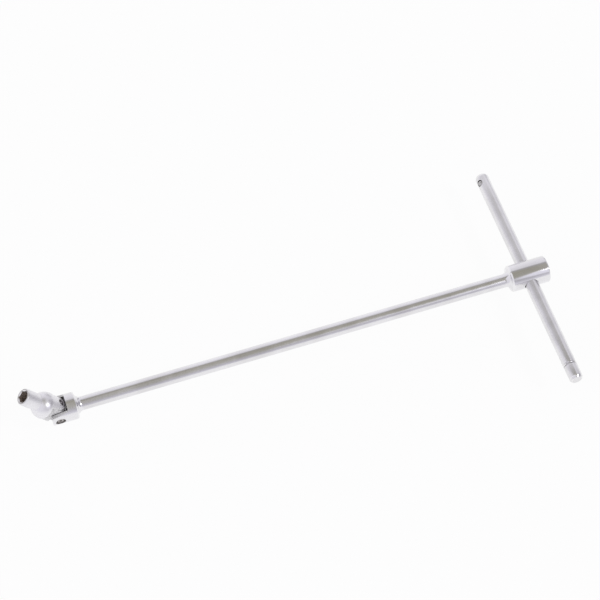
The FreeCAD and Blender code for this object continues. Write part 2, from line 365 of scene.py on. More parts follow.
# outline corners (x, radius, rounding) in millimetres become stations with rounded corners
def softened(corners, steps=6):
    stations = []
    for index, corner in enumerate(corners):
        here = Vector(corner[:2])
        rounding = corner[2] if len(corner) > 2 else 0
        if rounding == 0 or index in (0, len(corners) - 1):
            stations.append(here)
            continue
        before = Vector(corners[index - 1][:2]) - here
        after = Vector(corners[index + 1][:2]) - here
        toBefore, toAfter = before.normalized(), after.normalized()
        half = toBefore.angle(toAfter) / 2
        if half > math.radians(89.5):  # the outline runs almost straight on
            stations.append(here)
            continue
        reach = rounding / math.tan(half)
        middle = here + (toBefore + toAfter).normalized() * (rounding / math.sin(half))
        first, last = here + toBefore * reach - middle, here + toAfter * reach - middle
        turn = first.angle_signed(last)
        count = max(2, round(steps * abs(turn) / (math.pi / 2)))
        for part in range(count + 1):
            angle = -turn * part / count
            stations.append(middle + Matrix.Rotation(angle, 2) @ first)
    return [(round(s[0], 5), round(s[1], 5)) for s in stations]


# a solid turned about X: a filled circle, extruded and resized from station to station, flat at both ends
def turned(name, corners, segments=128, steps=6):
    stations = softened(corners, steps)
    clearSelection()
    startX, startRadius = stations[0]
    bpy.ops.mesh.primitive_circle_add(vertices=segments, radius=startRadius * mm, fill_type="NGON",
                                      location=(startX * mm, 0, 0), rotation=(0, math.pi / 2, 0))
    piece = bpy.context.object
    piece.name = name
    bpy.ops.object.transform_apply(location=True, rotation=True, scale=True)
    bpy.ops.object.mode_set(mode="EDIT")
    bpy.ops.mesh.select_all(action="SELECT")
    for (x, radius), (nextX, nextRadius) in zip(stations, stations[1:]):
        if abs(nextX - x) < 1e-5 and abs(nextRadius - radius) < 1e-5:
            continue
        bpy.ops.mesh.extrude_region_move(TRANSFORM_OT_translate={"value": ((nextX - x) * mm, 0, 0)})
        ratio = nextRadius / radius
        bpy.ops.transform.resize(value=(1, ratio, ratio), center_override=(nextX * mm, 0, 0))
    bpy.ops.mesh.select_all(action="SELECT")
    bpy.ops.mesh.normals_make_consistent(inside=False)
    bpy.ops.object.mode_set(mode="OBJECT")
    return piece


def block(name, low, high):
    clearSelection()
    middle = [(a + b) / 2 * mm for a, b in zip(low, high)]
    bpy.ops.mesh.primitive_cube_add(size=1, location=middle)
    piece = bpy.context.object
    piece.name = name
    piece.scale = [(b - a) * mm for a, b in zip(low, high)]
    bpy.ops.object.transform_apply(location=True, rotation=True, scale=True)
    return piece


# puts a piece in its frame and leaves its object at the origin
def placed(piece, matrix):
    only(piece)
    piece.matrix_world = matrix
    bpy.ops.object.transform_apply(location=True, rotation=True, scale=True)
    return piece


# takes the tool's shape out of a piece and removes the tool
def cut(piece, tool):
    only(piece)
    modifier = piece.modifiers.new("cut", "BOOLEAN")
    modifier.operation = "DIFFERENCE"
    modifier.solver = "EXACT"
    modifier.object = tool
    bpy.ops.object.modifier_apply(modifier=modifier.name)
    bpy.data.objects.remove(tool)
    return piece


# merges strays, smooths, gives the finish, ties the piece to its body and hides the CAD node it takes over
def finished(piece, materials, body, node, angle=32):
    only(piece)
    bpy.ops.object.mode_set(mode="EDIT")
    bpy.ops.mesh.select_all(action="SELECT")
    bpy.ops.mesh.remove_doubles(threshold=1e-6)
    bpy.ops.mesh.normals_make_consistent(inside=False)
    bpy.ops.object.mode_set(mode="OBJECT")
    bpy.ops.object.shade_smooth_by_angle(angle=math.radians(angle))
    piece.data.materials.clear()
    for material in materials:
        piece.data.materials.append(material)
    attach(piece, body)
    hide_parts(node)
    return piece


# gives one of the piece's materials to the faces whose centre and normal pass a test, in the piece's frame
def paint(piece, pieceFrame, material, test):
    index = list(piece.data.materials).index(material)
    back = pieceFrame.inverted()
    turn = back.to_3x3()
    for face in piece.data.polygons:
        if test((back @ face.center) / mm, turn @ face.normal):
            face.material_index = index


# picks the edges that pass a test on their middle and direction, in millimetres
def selectEdges(piece, test):
    only(piece)
    bpy.ops.object.mode_set(mode="EDIT")
    bpy.ops.mesh.select_mode(type="EDGE")
    bpy.ops.mesh.select_all(action="DESELECT")
    bpy.ops.object.mode_set(mode="OBJECT")
    for edge in piece.data.edges:
        first, last = [piece.data.vertices[v].co / mm for v in edge.vertices]
        edge.select = bool(test((first + last) / 2, (last - first).normalized()))
    bpy.ops.object.mode_set(mode="EDIT")


def bevelled(width, segments):
    bpy.ops.mesh.bevel(offset=width * mm, offset_type="OFFSET", segments=segments, affect="EDGES",
                       clamp_overlap=False)
    bpy.ops.object.mode_set(mode="OBJECT")


# widens the open end of a tongue to the root at the shoulder and carries it on into the body
def widened(fromX, toX, ratio, overlap=3):
    if toX > fromX:
        bpy.ops.mesh.extrude_region_move(TRANSFORM_OT_translate={"value": ((toX - fromX) * mm, 0, 0)})
    bpy.ops.transform.resize(value=(1, 1, ratio), center_override=(0, 0, 0))
    bpy.ops.mesh.extrude_region_move(TRANSFORM_OT_translate={"value": (overlap * mm, 0, 0)})


# tongue with a round end about the pin
def roundTongue(sizes, reach):
    shoulder, tip, root = sizes["shoulder"], sizes["tip"], sizes["root"]
    touch = math.atan2(root, shoulder) + math.acos(tip / math.hypot(shoulder, root))
    sideX, sideZ = tip * math.cos(touch), tip * math.sin(touch)
    clearSelection()
    bpy.ops.mesh.primitive_circle_add(vertices=96, radius=tip * mm, fill_type="NGON",
                                      location=(0, -reach * mm, 0), rotation=(math.pi / 2, 0, 0))
    tongue = bpy.context.object
    bpy.ops.object.transform_apply(location=True, rotation=True, scale=True)
    bpy.ops.object.mode_set(mode="EDIT")
    bpy.ops.mesh.select_all(action="SELECT")
    bpy.ops.mesh.bisect(plane_co=(sideX * mm, 0, 0), plane_no=(1, 0, 0), clear_outer=True, threshold=1e-7)
    selectEdges(tongue, lambda p, d: abs(p.x - sideX) < 1e-4 and abs(d.z) > 0.9)
    widened(sideX, shoulder, root / sideZ)
    bpy.ops.mesh.select_all(action="SELECT")
    bpy.ops.mesh.extrude_region_move(TRANSFORM_OT_translate={"value": (0, 2 * reach * mm, 0)})
    return tongue


# tongue with a flat end and rounded corners
def squareTongue(sizes, reach):
    shoulder, tip, end = sizes["shoulder"], sizes["tip"], sizes["tipEnd"]
    tongue = block("tongue", (-end, -reach, -tip), (shoulder, reach, tip))
    selectEdges(tongue, lambda p, d: p.x > shoulder - 0.01)
    widened(shoulder, shoulder, sizes["root"] / tip)
    selectEdges(tongue, lambda p, d: p.x < 0.01 - end and abs(d.y) > 0.9)
    flank = math.atan2(sizes["root"] - tip, shoulder + end)
    bevelled(sizes["corner"] / math.tan((math.pi / 2 + flank) / 2), 8)
    bpy.ops.object.mode_set(mode="EDIT")
    return tongue


# all that isn't ear, in front of the shoulder: a wide block less two tongues, with the slot between them
def forkCutter(sizes, shapedTongue):
    shoulder, slotHalf = sizes["shoulder"], sizes["slotHalf"]
    reach = sizes["radius"] + 3
    front, side = 30, 20  # well clear of the piece
    tongue = shapedTongue(sizes, reach)
    bpy.ops.mesh.select_all(action="SELECT")
    bpy.ops.mesh.normals_make_consistent(inside=False)
    bpy.ops.object.mode_set(mode="OBJECT")
    cut(tongue, block("slotTool", (-front, -slotHalf, -side), (shoulder + 6, slotHalf, side)))
    cutter = block("forkTool", (-front, 1 - reach, 1 - side), (shoulder, reach - 1, side - 1))
    return cut(cutter, tongue)


# pin hole through both ears, along Y, with a recess at each end
def pinHoleTool(sizes):
    hole, mouth, recess, radius = sizes["pinHole"], sizes["pinMouth"], sizes["pinRecess"], sizes["radius"]
    corners = [(-radius - 2, mouth / 2), (-radius, mouth / 2), (-radius + recess, hole / 2),
               (radius - recess, hole / 2), (radius, mouth / 2), (radius + 2, mouth / 2)]
    tool = turned("pinTool", corners, 64)
    return placed(tool, alongY)


# the cross hub: a turned body with a flared neck, bored across for the bar
hubSizes = {
    "radius": hubHigh.z / mm,
    "edgeRounding": 1.15,
    "neckRadius": 5.0,
    "flare": 4.2,
    "flareEdge": 0.12,
    "flareStart": 0.13,
    "flareShoulder": 0.7,
    "shoulderRounding": 0.4,
    "boreRadius": 5.06,
    "countersink": 0.45,
    "toolEnd": 12.0,
    "toolRadius": 6.2,
    "seam": 0.12,
    "edgeWear": 0.35,
    "shadeReach": 5.4,
}
hubStart = hubLow.x / mm
hubEnd = hubHigh.x / mm - insideCad
hubRim = hubStart + hubSizes["flare"]
hubRimRadius = hubSizes["neckRadius"] + hubSizes["flare"]
hubPiece = turned("hub_body", [
    (hubStart, hubSizes["neckRadius"] - 2),
    (hubStart, hubSizes["neckRadius"] - hubSizes["seam"]),
    (hubStart + hubSizes["seam"], hubSizes["neckRadius"]),
    (hubRim, hubSizes["neckRadius"], hubSizes["flare"] - hubSizes["flareStart"]),
    (hubRim, hubRimRadius, hubSizes["flareEdge"]),
    (hubRim + hubSizes["flareShoulder"], hubSizes["radius"], hubSizes["shoulderRounding"]),
    (hubEnd, hubSizes["radius"], hubSizes["edgeRounding"]),
    (hubEnd, 0.6),
], *fineTurn)
hubRadius, boreRadius, countersink = hubSizes["radius"], hubSizes["boreRadius"], hubSizes["countersink"]
toolEnd, toolRadius = hubSizes["toolEnd"], hubSizes["toolRadius"]
boreTool = turned("boreTool", [
    (-toolEnd, toolRadius), (-hubRadius, boreRadius + countersink), (-hubRadius + countersink, boreRadius),
    (hubRadius - countersink, boreRadius), (hubRadius, boreRadius + countersink), (toolEnd, toolRadius)])
placed(boreTool, Matrix.Translation((barAt.x, 0, 0)) @ alongY)
cut(hubPiece, boreTool)
hubChrome = satinChrome("hubChrome", rowFrame, [
    (hubEnd - hubSizes["edgeWear"], hubRadius - hubSizes["edgeWear"]), (hubRim, hubRimRadius),
    (hubRim + hubSizes["flareShoulder"], hubRadius)], {"bump": 0.15, "roughness": 0.12})
# painted shade: the bore and its countersink on the shaft's side are dark, for the shadowed gap round the bar
boreShade = grimeAndShadeSteel("boreShade", rowFrame)
finished(hubPiece, [hubChrome, boreShade], "handle", "hub")
barX = barAt.x / mm
# paints the painted shade on the bore's wall and on the countersink's shaft side
paint(hubPiece, rowFrame, boreShade, lambda p, n: math.hypot(p.x - barX, p.z) < hubSizes["shadeReach"]
      and abs(n.x) < 0.99 and abs(n.y * p.y + n.z * p.z) < 0.95 * math.hypot(p.y, p.z) and p.x < barX + 1)
print("stage 2: hub")


# the shaft between the fork and the hub
shaftSizes = {"radius": 5.0, "spigot": 3.9, "seam": 0.10, "gap": 0.01, "steps": 12}
yokeEnd = yokeHigh.x / mm
shaftRadius, spigot, seam = shaftSizes["radius"], shaftSizes["spigot"], shaftSizes["seam"]
shaftSteps = shaftSizes["steps"]
shaftStart, shaftStop = yokeEnd + shaftSizes["gap"], hubStart - shaftSizes["gap"]
shaftPiece = turned("shaft_rod", [
    (yokeEnd - 1, spigot), (shaftStart, spigot), (shaftStart, shaftRadius - seam),
    (shaftStart + seam, shaftRadius)] + [
    (yokeEnd + (hubStart - yokeEnd) * part / shaftSteps, shaftRadius) for part in range(1, shaftSteps)] + [
    (shaftStop - seam, shaftRadius), (shaftStop, shaftRadius - seam), (shaftStop, spigot),
    (hubStart + 1, spigot)])
shaftChrome = satinChrome("shaftChrome", rowFrame, [(yokeEnd, shaftRadius), (hubStart, shaftRadius)],
                          {"ringPitch": 0.5, "roughness": 0.18})
finished(shaftPiece, [shaftChrome], "handle", "shaft")
print("stage 3: shaft")


# the fork at the shaft's end; its frame starts at the main pin
yokeSizes = {
    "radius": 9.85,
    "shoulder": 6.5,
    "tip": 4.5,
    "tipEnd": 5.4,
    "tipRounding": 0.5,
    "corner": 1.2,
    "root": 6.5,
    "slotHalf": 5.6,
    "rim": 12.9,
    "rimRounding": 0.15,
    "flare": 4.2,
    "flareEdge": 0.12,
    "flareStart": 0.13,
    "neckRadius": 5.0,
    "seam": 0.12,
    "pinHole": 4.84,
    "pinMouth": 7.3,
    "pinRecess": 0.9,
    "plungerBore": 2.45,
    "grimeWidth": 0.38,
}
flare, neckRadius = yokeSizes["flare"], yokeSizes["neckRadius"]
yokeNeck = (yokeHigh.x - mainPinAt.x) / mm
yokeFlare = yokeNeck - flare
yokePiece = turned("shaft_fork", [
    (-yokeSizes["tipEnd"], 1.0),
    (-yokeSizes["tipEnd"], yokeSizes["radius"], yokeSizes["tipRounding"]),
    (yokeSizes["rim"], yokeSizes["radius"], yokeSizes["rimRounding"]),
    (yokeFlare, neckRadius + flare, yokeSizes["flareEdge"]),
    (yokeFlare, neckRadius, flare - yokeSizes["flareStart"]),
    (yokeNeck - yokeSizes["seam"], neckRadius),
    (yokeNeck, neckRadius - yokeSizes["seam"]),
    (yokeNeck, 3.0)], *fineTurn)
cut(yokePiece, forkCutter(yokeSizes, squareTongue))
cut(yokePiece, pinHoleTool(yokeSizes))
plungerBore = yokeSizes["plungerBore"]
cut(yokePiece, turned("plungerTool", [(3, plungerBore), (yokeNeck - 3, plungerBore)], 64))
placed(yokePiece, yokeFrame)
yokeChrome = satinChrome("yokeChrome", yokeFrame, [
    (yokeSizes["rim"], yokeSizes["radius"]), (yokeFlare, neckRadius + flare)])
# the fork's milled flats carry a painted shade along the slot's gap
yokeMilled = milledFlat("yokeMilled", yokeFrame, {
    "light": (0.92, 0.915, 0.92), "dark": (0.52, 0.52, 0.51),
    "gapShadeEdge": yokeSizes["slotHalf"] + yokeSizes["grimeWidth"]})
# oil in the pin holes, with painted shade in their recesses and in the pin's dimples
yokeRecessOilAndShade = grimeAndShadeSteel("yokeRecessOilAndShade", yokeFrame)
slotFloor = grimeAndShadeSteel("slotFloor", yokeFrame, {"light": (0.86, 0.84, 0.86), "dark": (0.58, 0.57, 0.58)})
finished(yokePiece, [yokeChrome, yokeMilled, yokeRecessOilAndShade, slotFloor], "handle", "shaft_yoke")


# faces inside the turned surface and in front of the shoulder, but not the rounded rim at the ears' ends
def yokeIsMilled(p, n):
    fromAxis = math.hypot(p.y, p.z)
    rounded = (fromAxis > yokeSizes["radius"] - yokeSizes["tipRounding"] - 0.02
               and p.x < yokeSizes["tipRounding"] - yokeSizes["tipEnd"] and n.x > -0.98)
    return p.x < yokeSizes["shoulder"] + 0.1 and fromAxis < yokeSizes["radius"] - 0.02 and not rounded


# the walls of a pin's hole and recess in both ears
def inPinHole(sizes):
    return lambda p, n: (math.hypot(p.x, p.z) < sizes["pinMouth"] / 2 + 0.02 and abs(n.y) < 0.95
                         and abs(p.y) > sizes["slotHalf"])


paint(yokePiece, yokeFrame, yokeMilled, yokeIsMilled)
# the pin holes' walls and recesses get the oil and painted shade
paint(yokePiece, yokeFrame, yokeRecessOilAndShade, inPinHole(yokeSizes))
paint(yokePiece, yokeFrame, slotFloor, lambda p, n: n.x < -0.9 and abs(p.x - yokeSizes["shoulder"]) < 0.05)
print("stage 4: shaft fork")


# the two pins, centre-punched at both ends
pinSizes = {
    "mainRadius": 2.39,
    "crossRadius": 1.99,
    "dimple": 1.0,
    "dimpleFloor": 0.05,
    "dimpleEdge": 0.12,
    "dimpleGrime": 0.85,
    "chamfer": 0.3,
}


def punchedPin(name, radius, half):
    dimple, dimpleFloor, dimpleEdge = pinSizes["dimple"], pinSizes["dimpleFloor"], pinSizes["dimpleEdge"]
    chamfer = pinSizes["chamfer"]
    return turned(name, [
        (-half + dimple, dimpleFloor), (-half, dimple, dimpleEdge), (-half, radius, chamfer),
        (half, radius, chamfer), (half, dimple, dimpleEdge), (half - dimple, dimpleFloor)], 96, 4)


def inDimple(p, n):
    return math.hypot(p.y, p.z) < pinSizes["dimpleGrime"]


mainPinLow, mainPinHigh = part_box("main_pin")
mainPinPiece = punchedPin("main_pin_rivet", pinSizes["mainRadius"], (mainPinHigh.y - mainPinLow.y) / 2 / mm)
placed(mainPinPiece, yokeFrame @ alongY)
mainPinSteel = groundSteel("mainPinSteel", yokeFrame, {
    "light": (0.52, 0.49, 0.49), "dark": (0.22, 0.20, 0.20)})
finished(mainPinPiece, [mainPinSteel, yokeRecessOilAndShade], "handle", "main_pin")
# the dimples get the oil and painted shade
paint(mainPinPiece, yokeFrame @ alongY, yokeRecessOilAndShade, inDimple)
print("stage 5: main pin")


# the centre block, rounded at each end about a pin
blockSizes = {
    "half": 5.5,
    "offset": 4.9,
    "edge": 0.25,
    "endSteps": 24,
    "mainHole": 2.43,
    "crossHole": 2.03,
}
half, offset, endSteps = blockSizes["half"], blockSizes["offset"], blockSizes["endSteps"]
blockPiece = block("joint_block", (-offset - half, -half, -half), (half, half, half))
selectEdges(blockPiece, lambda p, d: abs(p.x - half) < 0.01 and abs(d.y) > 0.9)
bevelled(half - 0.001, endSteps)
selectEdges(blockPiece, lambda p, d: p.x < -offset - half + 0.01 and abs(d.z) > 0.9)
bevelled(half - 0.001, endSteps)
selectEdges(blockPiece, lambda p, d: abs(p.y) > half - 0.01 and abs(d.y) < 0.1)
bevelled(blockSizes["edge"], 1)
mainHoleTool = turned("mainHoleTool", [(-8, blockSizes["mainHole"]), (8, blockSizes["mainHole"])], 64)
cut(blockPiece, placed(mainHoleTool, alongY))
crossHoleTool = turned("crossHoleTool", [(-8, blockSizes["crossHole"]), (8, blockSizes["crossHole"])], 64)
cut(blockPiece, placed(crossHoleTool, Matrix.Translation((-offset * mm, 0, 0)) @ alongZ))
placed(blockPiece, blockFrame)
blockSteel = milledFlat("blockSteel", blockFrame, {"light": (0.88, 0.875, 0.88), "dark": (0.58, 0.575, 0.57)})
finished(blockPiece, [blockSteel], "joint_block", "centre_block")
print("stage 6: centre block")


# the socket: barrel, half-round dome and two ears in one piece; its frame starts at the cross pin
socketSizes = {
    "radius": 9.35,
    "shoulder": 7.3,
    "lip": 0.9,
    "lipEdge": 0.34,
    "tip": 4.8,
    "tipEnd": 4.2,
    "tipRounding": 2.2,
    "root": 6.3,
    "slotHalf": 5.6,
    "dome": 9.7,
    "barrel": 6.1,
    "domeSteps": 28,
    "mouthEdge": 0.6,
    "mouthRounding": 0.3,
    "flats": 8.1,
    "hexDepth": 9.5,
    "boreRadius": 4.0,
    "boreDepth": 2.8,
    "boreCone": 0.8,
    "boreOverlap": 0.5,
    "lead": 0.7,
    "pinHole": 4.04,
    "pinMouth": 5.0,
    "pinRecess": 0.5,
    "plungerBore": 2.45,
    "plungerDepth": 13.1,
    "facedDepth": 0.4,
    "grimeStart": 0.65,
    "grimeEnd": 13.0,
}
mouthX = (mouthAt - crossPinAt).dot(socketAxis) / mm
dome, barrel = socketSizes["dome"], socketSizes["barrel"]
domeTurn = math.asin(barrel / dome)
domeStart = socketSizes["shoulder"] + socketSizes["lip"]
domeSteps = socketSizes["domeSteps"]
domeAngles = [math.pi / 2 + (domeTurn - math.pi / 2) * part / domeSteps for part in range(1, domeSteps)]
domePoints = [(domeStart + dome * math.cos(angle), dome * math.sin(angle)) for angle in domeAngles]
socketPiece = turned("socket_body", [
    (-socketSizes["tipEnd"], 1.0),
    (-socketSizes["tipEnd"], socketSizes["radius"], socketSizes["tipRounding"]),
    (socketSizes["shoulder"], socketSizes["radius"]),
    (socketSizes["shoulder"], dome, socketSizes["lipEdge"]),
    (domeStart, dome)] + domePoints + [
    (domeStart + dome * math.cos(domeTurn), barrel, 0.0),
    (mouthX - socketSizes["mouthEdge"], barrel, socketSizes["mouthRounding"]),
    (mouthX, barrel - socketSizes["mouthEdge"], socketSizes["mouthRounding"]),
    (mouthX, 1.0)], *fineTurn)
cut(socketPiece, forkCutter({**socketSizes, "shoulder": socketSizes["shoulder"] - 0.01}, roundTongue))
cut(socketPiece, pinHoleTool(socketSizes))
plungerBore = socketSizes["plungerBore"]
cut(socketPiece, turned("plungerTool", [(3, plungerBore), (socketSizes["plungerDepth"], plungerBore)], 64))
corner = socketSizes["flats"] / math.sqrt(3)
hexFloor = mouthX - socketSizes["hexDepth"]
hexTool = turned("hexTool", [(hexFloor, corner), (mouthX + 2, corner)], 6)
placed(hexTool, Matrix.Rotation(math.pi / 6, 4, "X"))
cut(socketPiece, hexTool)
lead = socketSizes["lead"]
cut(socketPiece, turned("leadTool", [
    (mouthX - lead, corner - lead), (mouthX, corner), (mouthX + 1, corner + 1)], 96))
boreFloor, boreRadius = hexFloor - socketSizes["boreDepth"], socketSizes["boreRadius"]
cut(socketPiece, turned("boreTool", [
    (boreFloor, boreRadius / 2), (boreFloor + socketSizes["boreCone"], boreRadius),
    (hexFloor + socketSizes["boreOverlap"], boreRadius)], 96))
placed(socketPiece, socketFrame)
socketChrome = satinChrome("socketChrome", socketFrame, [
    (socketSizes["shoulder"], dome), (mouthX - 0.2, barrel - 0.2), (mouthX, corner)],
    {"roughness": 0.36, "light": (0.86, 0.85, 0.88), "dark": (0.80, 0.79, 0.815)})
socketMilled = milledFlat("socketMilled", socketFrame, {
    "light": (0.92, 0.915, 0.92), "dark": (0.66, 0.66, 0.655)})
# oil in the cross pin's holes, with painted shade in their recesses and in the pin's dimples
pinRecessOilAndShade = grimeAndShadeSteel("pinRecessOilAndShade", socketFrame, {
    "light": (0.42, 0.39, 0.42), "dark": (0.26, 0.24, 0.26)})
hexGrime = grimeAndShadeSteel("hexGrime", socketFrame, {
    "light": (0.66, 0.60, 0.55), "dark": (0.50, 0.45, 0.41), "roughness": 0.6})
mouthFaced = milledFlat("mouthFaced", socketFrame, {
    "light": (0.62, 0.605, 0.60), "dark": (0.42, 0.405, 0.40)})
finished(socketPiece, [socketChrome, socketMilled, hexGrime, mouthFaced, pinRecessOilAndShade],
         "socket_end", "socket")
paint(socketPiece, socketFrame, mouthFaced,
      lambda p, n: p.x > mouthX - socketSizes["facedDepth"] and n.x > 0.8)
paint(socketPiece, socketFrame, socketMilled, lambda p, n: p.x < socketSizes["shoulder"]
      and math.hypot(p.y, p.z) < socketSizes["radius"] - 0.05
      and (abs(n.y) > 0.99 or abs(n.y) < 0.01 or abs(n.x) > 0.99))
grimeStart, grimeEnd = mouthX - socketSizes["grimeStart"], mouthX - socketSizes["grimeEnd"]
paint(socketPiece, socketFrame, hexGrime,
      lambda p, n: grimeEnd < p.x < grimeStart and math.hypot(p.y, p.z) < corner + 0.02)
# the pin holes' walls and recesses get the oil and painted shade
paint(socketPiece, socketFrame, pinRecessOilAndShade, inPinHole(socketSizes))
print("stage 7: socket")


# the cross pin, through the socket's ears and the block
crossPinPiece = punchedPin("cross_pin_rivet", pinSizes["crossRadius"],
                           socketSizes["radius"] - socketSizes["pinRecess"])
placed(crossPinPiece, socketFrame @ alongY)
crossPinSteel = groundSteel("crossPinSteel", socketFrame, {
    "light": (0.30, 0.29, 0.29), "dark": (0.10, 0.095, 0.09)})
finished(crossPinPiece, [crossPinSteel, pinRecessOilAndShade], "socket_end", "cross_pin")
# the dimples get the oil and painted shade
paint(crossPinPiece, socketFrame @ alongY, pinRecessOilAndShade, inDimple)
print("stage 8: cross pin")


# the sliding bar, with a ring groove near one end and a ball hole near the other
barSizes = {
    "radius": 5.0,
    "chamferLength": 1.7,
    "chamferDepth": 1.1,
    "rounding": 1.2,
    "edge": 0.15,
    "ballTurn": 33,
    "grooveRadius": 4.15,
    "grooveWidth": 1.5,
    "grooveBreak": 0.4,
    "holeRadius": 2.55,
    "holeFloor": -3.4,
    "holeRim": 4.4,
    "toolEnd": 7.0,
    "steps": 8,
}
barHalf = (barHigh.y - barLow.y) / 2 / mm - insideCad
ringPlace = ((ringLow.y + ringHigh.y) / 2 - barMiddle.y) / mm
ballPlace = ((ballLow.y + ballHigh.y) / 2 - barMiddle.y) / mm
radius, rounding, edge = barSizes["radius"], barSizes["rounding"], barSizes["edge"]
straight, face = barHalf - barSizes["chamferLength"], radius - barSizes["chamferDepth"]
grooveHalf, grooveBreak = barSizes["grooveWidth"] / 2, barSizes["grooveBreak"]
barSteps, holeRadius = barSizes["steps"], barSizes["holeRadius"]
barPiece = turned("sliding_bar_rod", [
    (-barHalf, 0.8), (-barHalf, face, edge), (-straight, radius, rounding),
    (ringPlace - grooveHalf - grooveBreak, radius, 0.1), (ringPlace - grooveHalf, radius - grooveBreak, 0.1),
    (ringPlace - grooveHalf, barSizes["grooveRadius"]),
    (ringPlace + grooveHalf, barSizes["grooveRadius"]), (ringPlace + grooveHalf, radius, 0.12)] + [
    (ringPlace + (barHalf - ringPlace) * part / barSteps, radius) for part in range(1, barSteps)] + [
    (straight, radius, rounding), (barHalf, face, edge), (barHalf, 0.8)])
holeTool = turned("holeTool", [
    (barSizes["holeFloor"], holeRadius), (barSizes["holeRim"], holeRadius),
    (barSizes["toolEnd"], holeRadius)], 64)
ballTurn = Matrix.Rotation(math.radians(barSizes["ballTurn"]), 4, "X")
ballFrame = barFrame @ Matrix.Translation((ballPlace * mm, 0, 0)) @ ballTurn
placed(holeTool, barFrame.inverted() @ ballFrame @ alongY)
cut(barPiece, holeTool)
placed(barPiece, barFrame)
barChrome = satinChrome("barChrome", barFrame, [
    (-barHalf, face), (-straight, radius), (straight, radius), (barHalf, face),
    (ringPlace - grooveHalf, radius), (ringPlace + grooveHalf, radius)],
    {"roughness": 0.25, "light": (0.84, 0.832, 0.85), "dark": (0.75, 0.742, 0.755), "ringPitch": 0.3})
# painted shade inside the ball hole
barHoleShade = grimeAndShadeSteel("barHoleShade", barFrame, {"light": (0.55, 0.53, 0.53), "dark": (0.30, 0.29, 0.29)})
finished(barPiece, [barChrome, barHoleShade], "sliding_bar", "t_bar")
# the ball hole's wall gets the painted shade
paint(barPiece, ballFrame, barHoleShade,
      lambda p, n: math.hypot(p.x, p.z) < holeRadius + 0.02 and abs(n.y) < 0.5)
print("stage 9: sliding bar")


# the snap ring: a round wire section spun about the bar, with a gap
ringSizes = {"wire": 0.55, "mean": 4.75, "sweep": 328, "start": 50, "steps": 120}
clearSelection()
bpy.ops.mesh.primitive_circle_add(vertices=24, radius=ringSizes["wire"] * mm, fill_type="NGON",
                                  location=(-ringSizes["mean"] * mm, 0, 0))
ringPiece = bpy.context.object
ringPiece.name = "snap_ring_wire"
bpy.ops.object.transform_apply(location=True, rotation=True, scale=True)
bpy.ops.object.mode_set(mode="EDIT")
bpy.ops.mesh.select_all(action="SELECT")
bpy.ops.mesh.spin(steps=ringSizes["steps"], angle=math.radians(ringSizes["sweep"]),
                  center=(0, 0, 0), axis=(0, 1, 0))
bpy.ops.mesh.select_all(action="SELECT")
bpy.ops.mesh.normals_make_consistent(inside=False)
bpy.ops.object.mode_set(mode="OBJECT")
ringCentre = Vector((barAt.x, (ringLow.y + ringHigh.y) / 2, barAt.z))
placed(ringPiece, Matrix.Translation(ringCentre) @ Matrix.Rotation(math.radians(ringSizes["start"]), 4, "Y"))
ringSteel = groundSteel("ringSteel", barFrame, {
    "light": (0.95, 0.94, 0.95), "dark": (0.82, 0.81, 0.82), "roughness": 0.14})
finished(ringPiece, [ringSteel], "snap_ring", "bar_snap_ring", angle=50)
print("stage 10: snap ring")


# the ball and the hidden pieces keep their own meshes and get real finishes
keptFinishes = {
    "detent_ball": groundSteel("ballSteel", ballFrame, {
        "light": (0.60, 0.59, 0.59), "dark": (0.44, 0.43, 0.43)}),
    "detent_spring": groundSteel("detentSpringSteel", barFrame),
    "yoke_friction_plunger": groundSteel("yokePlungerSteel", yokeFrame),
    "yoke_friction_spring": groundSteel("yokeSpringSteel", yokeFrame),
    "socket_friction_plunger": groundSteel("socketPlungerSteel", socketFrame),
    "socket_friction_spring": groundSteel("socketSpringSteel", socketFrame),
}
for nodeName, material in keptFinishes.items():
    node = frame["nodes"][nodeName]
    node.data.materials.clear()
    node.data.materials.append(material)
print("stage 11: kept pieces")


# a pale floor, soft surroundings and one soft lamp
stageValues = {
    "floorDrop": 0.0196,
    "floorSize": 12.0,
    "floorColour": (0.97, 0.97, 0.97),
    "floorGlow": 0.93,
    "speckScale": 40.0,
    "speckDepth": 0.98,
    "lampAzimuth": 44,
    "lampElevation": 48,
    "lampDistance": 10.0,
    "lampSize": 1.5,
    "lampPower": 110.0,
    "lampAim": (-0.19, 0, 0),
}
clearSelection()
bpy.ops.mesh.primitive_plane_add(size=stageValues["floorSize"],
                                 location=(0, 0, hubLow.z - stageValues["floorDrop"]))
floor = bpy.context.object
floor.name = "floor"
floorMaterial, tree = newMaterial("paleFloor")
rays = tree.node("ShaderNodeLightPath").socket.node.outputs
cameraRay, glossyRay, throughRay = [
    Signal(tree.tree, rays[name]) for name in ("Is Camera Ray", "Is Glossy Ray", "Is Transmission Ray")]
seen = tree.math("MAXIMUM", tree.math("MAXIMUM", cameraRay, glossyRay), throughRay)
speck = noise(tree, tree.node("ShaderNodeTexCoord", output=3), stageValues["speckScale"])
floorColour = stageValues["floorColour"]
speckled = tint(tree, speck, [part * stageValues["speckDepth"] for part in floorColour], floorColour)
matt = tree.node("ShaderNodeBsdfDiffuse", None, {"Color": speckled})
glow = tree.node("ShaderNodeEmission", None, {"Color": (1, 1, 1, 1), "Strength": 1.0})
mixed = tree.node("ShaderNodeMixShader", None, {0: seen * stageValues["floorGlow"], 1: matt, 2: glow})
tree.node("ShaderNodeOutputMaterial", None, {"Surface": mixed})
floor.data.materials.append(floorMaterial)


